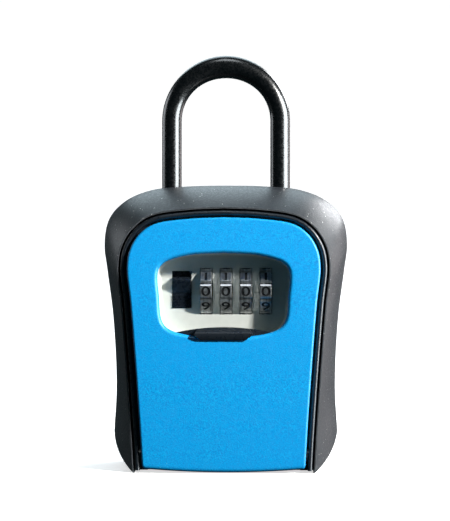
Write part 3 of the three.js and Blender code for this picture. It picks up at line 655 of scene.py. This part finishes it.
# ------------------------------------------------------------------ screws and plugs
def cross_recess(size):
    """A cross-shaped driver recess, narrower at its bottom, below z = 0."""
    arms = []
    for turn_by in (0, math.pi / 2):
        rings = []
        for z, scale in ((-RECESS_DEPTH, 0.55), (0.2, 1.0)):
            half, thick = size * scale, size * 0.2 * (0.7 + 0.3 * scale)
            rings.append(placed(rectangle((-half, half), (-thick, thick)), "z", z))
        arms.append(turn(lofted(rings), Matrix.Rotation(turn_by, 4, "Z")))
    return joined(*arms)


def screw(head, shank, length, height):
    """A flat countersunk screw, or a pan head one if the head has a height; z = 0 is its seat."""
    if height:
        top = [(head, 0), (head, height * 0.45), (head * 0.9, height * 0.8), (head * 0.6, height)]
    else:
        top = [(shank, shank - head), (head - 0.05, -0.1), (head, -0.05), (head - 0.12, 0)]
    stem = [(shank * 0.7, -length), (shank, 0.6 - length), (shank, shank - head - 0.1)]
    return cut(turned(stem + top, 28), turn(cross_recess(head * 0.62), IN_PLACE, (0, 0, height)))


def seat_of(node, side):
    """Where a screw's head sits, in drawing millimetres, from its CAD node's box."""
    low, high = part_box(node)
    middle = (low + high) / 2 / MM
    middle.y -= WALL_Y
    if side == "wall":
        middle.y = high.y / MM - WALL_Y
    if side == "down":
        middle.z = low.z / MM
    return middle


def place_screws(family, count, body, sizes, side):
    """Screws of one family, each turned a little differently, as hand-driven screws are."""
    height = sizes[-1]
    matrix = {"wall": TO_WALL, "down": HEAD_DOWN}[side]
    for i in range(1, count + 1):
        node = f"{family}_{i}" if count > 1 else family
        seat = seat_of(node, side)
        if side == "wall":
            seat.y -= height
        if side == "down":
            seat.z += height
        spin = Matrix.Rotation(math.radians(37 * i + 11), 4, "Z")
        made = turn(screw(*sizes), matrix @ spin, seat)
        piece_of(made, f"{node}_driven", body, STEEL, "steel", node)


# Sizes: head radius, shank radius, length below the seat, head height.
place_screws("shell_screw", 4, "housing", (2.2, 1.2, 8, 0), "wall")
place_screws("block_screw", 2, "housing", (2.2, 1.2, 9, 0), "wall")
place_screws("keeper_screw", 2, "housing", (2.2, 1.2, 4, 1.3), "down")
place_screws("cover_screw", 4, "door", (2.2, 1.2, 4.6, 1.3), "wall")
place_screws("case_screw", 4, "door", (2.2, 1.2, 21, 1.3), "wall")
place_screws("latch_screw", 1, "open_switch", (2.0, 1.0, 8, 1.1), "wall")


def wall_plug():
    """Rubber plug with a domed flange inside the box and a dimple in its tip."""
    return turned([
        (1.3, -1.9), (1.5, -2.6), (2.4, -2.7), (2.7, -2.4), (2.7, 0.3), (4.5, 0.3), (4.6, 0.45),
        (4.6, 0.9), (4.45, 1.1), (3.6, 1.75), (3.2, 1.95), (0, 2.1),
    ], 40)


def hinge_pin(x0, x1):
    """Steel pin with chamfered ends."""
    chamfer = 0.25
    radii = (
        (PIN - chamfer, x0), (PIN, x0 + chamfer), (PIN, x1 - chamfer), (PIN - chamfer, x1),
    )
    return lofted([placed(disc((HINGE_Y, HINGE_Z), r, 24), "x", x) for r, x in radii])


for i in range(1, 5):
    node = f"wall_hole_plug_{i}"
    low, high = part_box(node)
    at = ((low.x + high.x) / 2 / MM, BACK_WALL_Y, (low.z + high.z) / 2 / MM)
    plug = turn(wall_plug(), TO_FRONT, at)
    piece_of(plug, f"rubber_plug_{i}", "housing", RUBBER, "rubber_black", node)

for i in (1, 2):
    node = f"hinge_pin_{i}"
    low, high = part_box(node)
    pin = hinge_pin(low.x / MM, high.x / MM)
    piece_of(pin, f"steel_pin_{i}", "housing", STEEL, "steel", node)


# ------------------------------------------------------------------ shackle
def shackle():
    """Bent bar, thickest at the crown of its bend, with chamfered feet and a notch in each leg."""
    chamfer, leg_steps, bend_steps = 0.6, 14, 64
    leg = SHACKLE_BEND_Z - LEG_FOOT
    heights = [LEG_FOOT, LEG_FOOT + chamfer]
    heights += [LEG_FOOT + leg * k / leg_steps for k in range(1, leg_steps)]
    left = [(-LEG_X, z, 0.0) for z in heights]
    angles = [math.pi * k / bend_steps for k in range(bend_steps + 1)]
    bend = [(-LEG_X * math.cos(a), SHACKLE_BEND_Z + LEG_X * math.sin(a), a) for a in angles]
    path = left + bend + [(-x, z, math.pi) for x, z, _ in reversed(left)]
    rings = []
    for x, z, a in path:
        radius = ROD - chamfer if z == LEG_FOOT else ROD
        wide = 1 + SHACKLE_SWELL * math.sin(a) ** 4
        rings.append([
            (x - p.x * wide * math.cos(a), SHACKLE_Y + p.y, z + p.x * wide * math.sin(a))
            for p in disc((0, 0), radius, 48)
        ])
    bar = lofted(rings)
    for x in (-LEG_X, LEG_X):
        cut(bar, block((x - ROD - 1, x - ROD + NOTCH_DEPTH), (-20, 0), NOTCH_Z))
    return bar


piece_of(shackle(), "shackle_bar", "shackle", GLOSS, "shackle_black", "shackle", angle=40)


# ------------------------------------------------------------------ door
def dome_y(z):
    """The front of the blue cover at a given height."""
    return CROWN_Y + DOME_SAG * ((z - DOME_MIDDLE) / DOME_MIDDLE) ** 2


def foot_z(x):
    """The lower edge of the blue cover at a given x."""
    return FOOT_Z + FOOT_RISE * (x / FOOT_AT) ** 2


def cover_outline():
    """Half of the cover's closed outline, from the middle of its foot round to its crown."""
    corner, lean, foot_steps, bend_steps = 1.2, 0.12, 40, 8
    side = [p for p in COVER[:STEPS + 1] if p.y > foot_z(p.x) + corner]
    start = side[0]
    foot_end = start.x - corner - lean
    foot_x = [foot_end * k / foot_steps for k in range(foot_steps + 1)]
    foot = [Vector((x, foot_z(x))) for x in foot_x]
    knee = Vector((start.x - lean, foot_z(start.x)))
    bend = []
    for k in range(1, bend_steps):
        t = k / bend_steps
        bend.append(foot[-1] * (1 - t) ** 2 + knee * 2 * t * (1 - t) + start * t**2)
    return along(foot, 60) + bend + along(side, 150)


def window_facing(outer):
    """As many points on the window's outline as there are in a loop, evenly matched to it."""
    fine = 2000
    lengths = [0.0]
    for a, b in zip(outer, outer[1:]):
        lengths.append(lengths[-1] + (b - a).length)
    whole = lengths[-1] + (outer[0] - outer[-1]).length
    spaced = along(WINDOW + [WINDOW[0]], fine)
    return [spaced[round(fine * length / whole)] for length in lengths]


def door_cover():
    """Blue face: bowed up its height, rolled in at its foot, with a rounded edge and window rim."""
    half = cover_outline()
    outer = half + [Vector((-p.x, p.y)) for p in reversed(half[1:-1])]
    window = window_facing(outer)

    def front(p, drop_by=0.0):
        """A point on the bowed front, or set back from it, that rolls in above the foot."""
        y = dome_y(p.y) + drop_by
        rise = p.y - foot_z(p.x)
        if rise < FOOT_ROUND:
            y += FOOT_ROUND - math.sqrt(max(0.0, FOOT_ROUND**2 - (FOOT_ROUND - rise) ** 2))
        return (p.x, min(y, COVER_BACK_Y - 0.3), p.y)

    rings = [placed(outer, "y", COVER_BACK_Y)]
    edge_steps, lip_steps = 6, 8
    for k in range(edge_steps + 1):
        a = math.pi / 2 * k / edge_steps
        moved = offset(outer, COVER_EDGE * (math.cos(a) - 1))
        kept = [Vector((p.x, max(p.y, foot_z(p.x) + 0.02))) for p in moved]
        rings.append([front(p, COVER_EDGE * (1 - math.sin(a))) for p in kept])
    inner = offset(outer, -COVER_EDGE)
    rim = offset(window, WINDOW_LIP)
    for t in (0.01, 0.02, 0.03, 0.042, 0.056, 0.075, 0.1, 0.15, 0.22, 0.32, 0.45, 0.6, 0.75, 0.88):
        rings.append([front(a.lerp(b, t)) for a, b in zip(inner, rim)])
    for k in range(lip_steps + 1):
        a = math.pi / 2 * k / lip_steps
        moved = offset(window, WINDOW_LIP * (1 - math.sin(a)))
        rings.append([front(p, WINDOW_LIP * (1 - math.cos(a))) for p in moved])
    rings.append(placed(window, "y", COVER_BACK_Y))
    shutter_pocket = block(POCKET_X, (POCKET_Y, 0), POCKET_Z)
    hinge_recess = block(ACROSS, (POCKET_Y, 0), HINGE_RECESS_Z)
    return cut(lofted(rings, capped=False), shutter_pocket, hinge_recess)


def door_chassis():
    """Black tray of the door: back plate, a round bead beside the blue face, and knuckles."""
    bead_in, bead_out = BEAD_OFFSET
    half = (bead_out - bead_in) / 2
    middle = (bead_in + bead_out) / 2
    profile = [(bead_out, CHASSIS_Y[1]), (bead_out, BEAD_Y + half)]
    for k in range(1, 10):
        a = math.pi * k / 10
        profile.append((middle + half * math.cos(a), BEAD_Y + half - half * math.sin(a)))
    profile += [(bead_in, BEAD_Y + half), (bead_in, CHASSIS_Y[1])]
    bead = lofted([placed(offset(COVER, d), "y", y) for d, y in profile], capped=False)
    plate = prism(offset(COVER, bead_in + 0.1), "y", CHASSIS_Y)
    cut(plate, prism(offset(WINDOW, 1.8), "y", (AHEAD, 0)))
    tray = joined(common(bead, above(CHASSIS_FOOT_Z)), common(plate, above(CHASSIS_FOOT_Z)))
    for x0, x1 in ((-EAR_X[1] - GAP, -EAR_X[0] + GAP), (EAR_X[0] - GAP, EAR_X[1] + GAP)):
        cut(tray, block((x0, x1), (AHEAD, -30), (-20, HINGE_Z + KNUCKLE + GAP)))
    for x0, x1 in KNUCKLES_X:
        for span in ((-x1, -x0), (x0, x1)):
            joined(tray, prism(disc((HINGE_Y, HINGE_Z), KNUCKLE, 40), "x", span))
    return cut(tray, pin_bore())


def dial_panel():
    """Light tray at the bottom of the window, with sloping cheeks, slots and an index rib."""
    brim, front = CHASSIS_Y[0], PANEL_Y[0]
    profile = [
        (-0.9, front), (-0.65, front - 0.08), (-0.5, front - 0.3), (-0.4, front - 0.7),
        (0.05, brim + 0.15), (0.2, brim), (1.5, brim), (1.5, PANEL_Y[1]),
    ]
    tray = lofted([placed(offset(WINDOW, d), "y", y) for d, y in profile])
    joined(tray, block(INDEX_X, (front - 0.3, front + 0.5), INDEX_RIB_Z))
    cut(tray, block(INDEX_X, (front - 2, front + 0.8), INDEX_GROOVE_Z))
    for x in DIAL_X:
        span = (x - SLOT_HALF, x + SLOT_HALF)
        cut(tray, block(span, (AHEAD, 0), SLOT_Z))
        cut(tray, prism(disc((DIAL_Y, DIAL_Z), DIAL_R + GAP, 64), "x", span))
    return cut(tray, block((SWITCH_X - SWITCH_HALF, SWITCH_X + SWITCH_HALF), (AHEAD, 0), SWITCH_Z))


piece_of(door_cover(), "blue_face", "door", BLUE, "door_blue", "door_cover", angle=40)
piece_of(door_chassis(), "door_tray", "door", TRIM, "trim_black", "door_chassis", angle=30)
piece_of(dial_panel(), "window_tray", "door", PANEL, "panel_light", "dial_panel", angle=30)


# ------------------------------------------------------------------ number wheels
def on_wheel(digit, up, out):
    """The (y, z) of a place above the middle of a digit's pad and out from the wheel's axis."""
    a = math.radians(DIAL_PITCH * digit)
    y = -out * math.cos(a) + up * math.sin(a)
    z = out * math.sin(a) + up * math.cos(a)
    return DIAL_Y + y, DIAL_Z + z


def wheel_blank():
    """Ten flat pads round a drum, each with a bevel above and below and chamfered sides."""
    pad = (  # (up, out) along one pad and its bevels
        (-2.6, 8.0), (-2.6, 8.75), (-1.95, DIAL_FACE), (1.95, DIAL_FACE), (2.6, 8.75), (2.6, 8.0),
    )
    chamfer, chamfer_width = 0.08, 0.24
    half = DIAL_HALF
    stations = (
        (-half, chamfer), (chamfer_width - half, 0), (half - chamfer_width, 0), (half, chamfer),
    )
    corners = [(digit, up, out) for digit in range(10) for up, out in pad]
    rings = []
    for x, inset in stations:
        rings.append([(x, *on_wheel(digit, up, out - inset)) for digit, up, out in corners])
    bore = prism(disc((DIAL_Y, DIAL_Z), DIAL_BORE, 32), "x", (-half - 1, half + 1))
    return cut(lofted(rings), bore)


def digit_mesh(digit):
    """A thin digit in Blender's own font, with one unit to a millimetre."""
    text = bpy.data.curves.new("digit", "FONT")
    text.body = str(digit)
    text.size = DIGIT_HEIGHT / 0.7
    text.extrude = DIGIT_DEPTH
    text.offset = 0.07
    text.resolution_u = 4
    text.align_x = "CENTER"
    holder = new_object("digit", text)
    mesh = final_mesh(holder)
    bpy.data.objects.remove(holder)
    bpy.data.curves.remove(text)
    return mesh


def digit_tool(digit):
    """A digit as a thin solid that stands in the face of its pad."""
    mesh = digit_mesh(digit)
    across = [v.co.x for v in mesh.vertices]
    upward = [v.co.y for v in mesh.vertices]
    middle_x, middle_y = (min(across) + max(across)) / 2, (min(upward) + max(upward)) / 2
    for v in mesh.vertices:
        y, z = on_wheel(digit, v.co.y - middle_y, DIAL_FACE + v.co.z)
        x = (v.co.x - middle_x) * DIGIT_WIDEN
        v.co = (x * MM, (y + WALL_Y) * MM, z * MM)
    merged(mesh, 1e-6)
    return new_object("digit", mesh)


def number_wheel():
    """The wheel with its ten engraved digits, whose floors are painted."""
    wheel = wheel_blank()
    for digit in range(10):
        cut(wheel, digit_tool(digit))
    wheel.data.materials.clear()
    wheel.data.materials.append(CHROME)
    wheel.data.materials.append(PAINT)
    pad_half_angle, side_land, drum = 11.5, 0.26, 6
    for polygon in wheel.data.polygons:
        middle = polygon.center / MM
        y, z = middle.y - WALL_Y - DIAL_Y, middle.z - DIAL_Z
        radius = math.hypot(y, z)
        angle = math.degrees(math.atan2(z, -y)) % DIAL_PITCH
        angle = min(angle, DIAL_PITCH - angle)
        depth = DIAL_FACE - radius * math.cos(math.radians(angle))
        on_face = abs(middle.x) < DIAL_HALF - side_land and radius > drum
        on_pad = on_face and angle < pad_half_angle
        polygon.material_index = 1 if on_pad and depth > 0.05 else 0
    return wheel


wheel = number_wheel()
for i, x in enumerate(DIAL_X, 1):
    made = turn(new_object("wheel", wheel.data.copy()), IN_PLACE, (x, 0, 0))
    name = f"number_wheel_{i}"
    piece_of(made, name, f"dial_{i}", CHROME, "wheel_chrome", f"dial_wheel_{i}", angle=20)
drop(wheel)


# ------------------------------------------------------------------ softened mechanism
def softened(node, name, body, look, slot, width=0.15):
    """A copy of a CAD node with its corners rounded."""
    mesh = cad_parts[node].data.copy()
    mesh.materials.clear()
    rounded(mesh, width)
    piece_of(new_object(name, mesh), name, body, look, slot, node, angle=34)


softened("open_button", "thumb_switch", "open_switch", SWITCH, "trim_black", 0.06)
softened("dial_shutter", "weather_shutter", "shutter", TRIM, "trim_black", 0.3)
softened("shackle_block", "leg_guide_block", "housing", CASTING, "casting_grey", 0.25)
softened("latch_keeper", "keeper_hook", "housing", STEEL, "steel")
softened("shackle_lock_plate", "release_plate", "shackle_release", STEEL, "steel")
softened("lock_case", "mechanism_case", "door", CASTING, "casting_grey", 0.2)
softened("lock_cover", "mechanism_cover", "door", STEEL, "steel", 0.2)
softened("latch_plate", "latch_slide", "open_switch", STEEL, "steel")
softened("detent_spring", "click_spring", "door", STEEL, "steel", 0.08)
softened("code_lever", "code_set_lever", "code_slider", TRIM, "trim_black", 0.2)
softened("dial_shaft", "wheel_shaft", "code_slider", STEEL, "steel")
for i in range(1, 5):
    softened(f"clutch_sleeve_{i}", f"gate_sleeve_{i}", "code_slider", BRASS, "brass", 0.08)


# ------------------------------------------------------------------ stage, lights and camera
def round_room():
    """Pale round floor that curves up into a wall, in metres."""
    flat, bend, top, size, steps = 0.9, 1.2, 3.0, 96, 16
    profile = [(0.001, 0.0), (flat, 0.0)]
    for k in range(1, steps + 1):
        a = math.pi / 2 * k / steps
        profile.append((flat + bend * math.sin(a), bend - bend * math.cos(a)))
    profile.append((flat + bend, top))
    points = []
    for radius, z in profile:
        points += [(p.x, p.y - WALL_Y, z / MM) for p in disc((0, 0), radius / MM, size)]
    faces = []
    for ring in range(len(profile) - 1):
        for k in range(size):
            low, n = ring * size, (k + 1) % size
            faces.append((low + k, low + n, low + size + n, low + size + k))
    faces.append(tuple(range(size)))
    made = solid(points, faces, "round_floor")
    shade(made, 60)
    look = Look("pale_floor", 0.8, Emission_Color=(1, 1, 1, 1), Emission_Strength=0.66)
    look.colour(look.mix(look.noise(3), (0.86, 0.86, 0.86), (0.9, 0.9, 0.9)))
    made.data.materials.append(look.material)
    made.visible_diffuse = False
    made.visible_glossy = False
    made.visible_shadow = False


def aimed(made, at, target):
    """Puts a lamp or camera at a place and points it at a target."""
    made.location = at
    made.rotation_euler = (Vector(target) - Vector(at)).to_track_quat("-Z", "Y").to_euler()


def lamp(name, at, size, power, colour, lights_matt=True):
    """A round soft light aimed at the middle of the box; some only show up in reflections."""
    data = bpy.data.lights.new(name, "AREA")
    data.shape = "DISK"
    data.size = size
    data.energy = power
    data.color = colour
    made = new_object(name, data)
    aimed(made, at, (0, 0, 0.075))
    made.visible_camera = False
    made.visible_diffuse = lights_matt


def faint_sky():
    """A weak blue light from all sides, which fills the shadows."""
    world = bpy.data.worlds.new("studio")
    world.use_nodes = True
    background = world.node_tree.nodes["Background"]
    background.inputs["Color"].default_value = (0.45, 0.85, 1, 1)
    background.inputs["Strength"].default_value = 0.045
    bpy.context.scene.world = world


def main_camera():
    """A long lens, level, facing the door from slightly to its right."""
    lens = bpy.data.cameras.new("camera")
    lens.lens = 103
    lens.sensor_width = 36
    camera = new_object("camera", lens)
    aimed(camera, (0.0173, -0.5574, 0.0744), (0.0, 0.0, 0.0773))
    bpy.context.scene.camera = camera


round_room()
lamp("key", (1.11, -0.72, 0.78), 0.13, 49.5, (1.0, 0.98, 0.95))
lamp("sky", (-0.1, 0.75, 0.9), 1.0, 6.4, (0.76, 0.92, 1.0))
lamp("shoulder", (0.66, 0.88, 0.66), 0.6, 10.5, (0.97, 0.98, 1.0))
lamp("rim", (0.85, 0.62, 0.1), 0.5, 1.6, (1.0, 0.9, 0.9))
lamp("overhead", (0.0, -0.36, 1.0), 0.35, 1.8, (0.9, 0.96, 1.0), lights_matt=False)
lamp("streak", (0.95, -0.3, 0.2), 0.9, 42, (0.9, 0.97, 1.0), lights_matt=False)
lamp("left", (-1.0, 0.3, 0.4), 0.7, 3.5, (0.9, 0.95, 1.0), lights_matt=False)

faint_sky()
main_camera()
bpy.context.scene.view_settings.view_transform = "Standard"
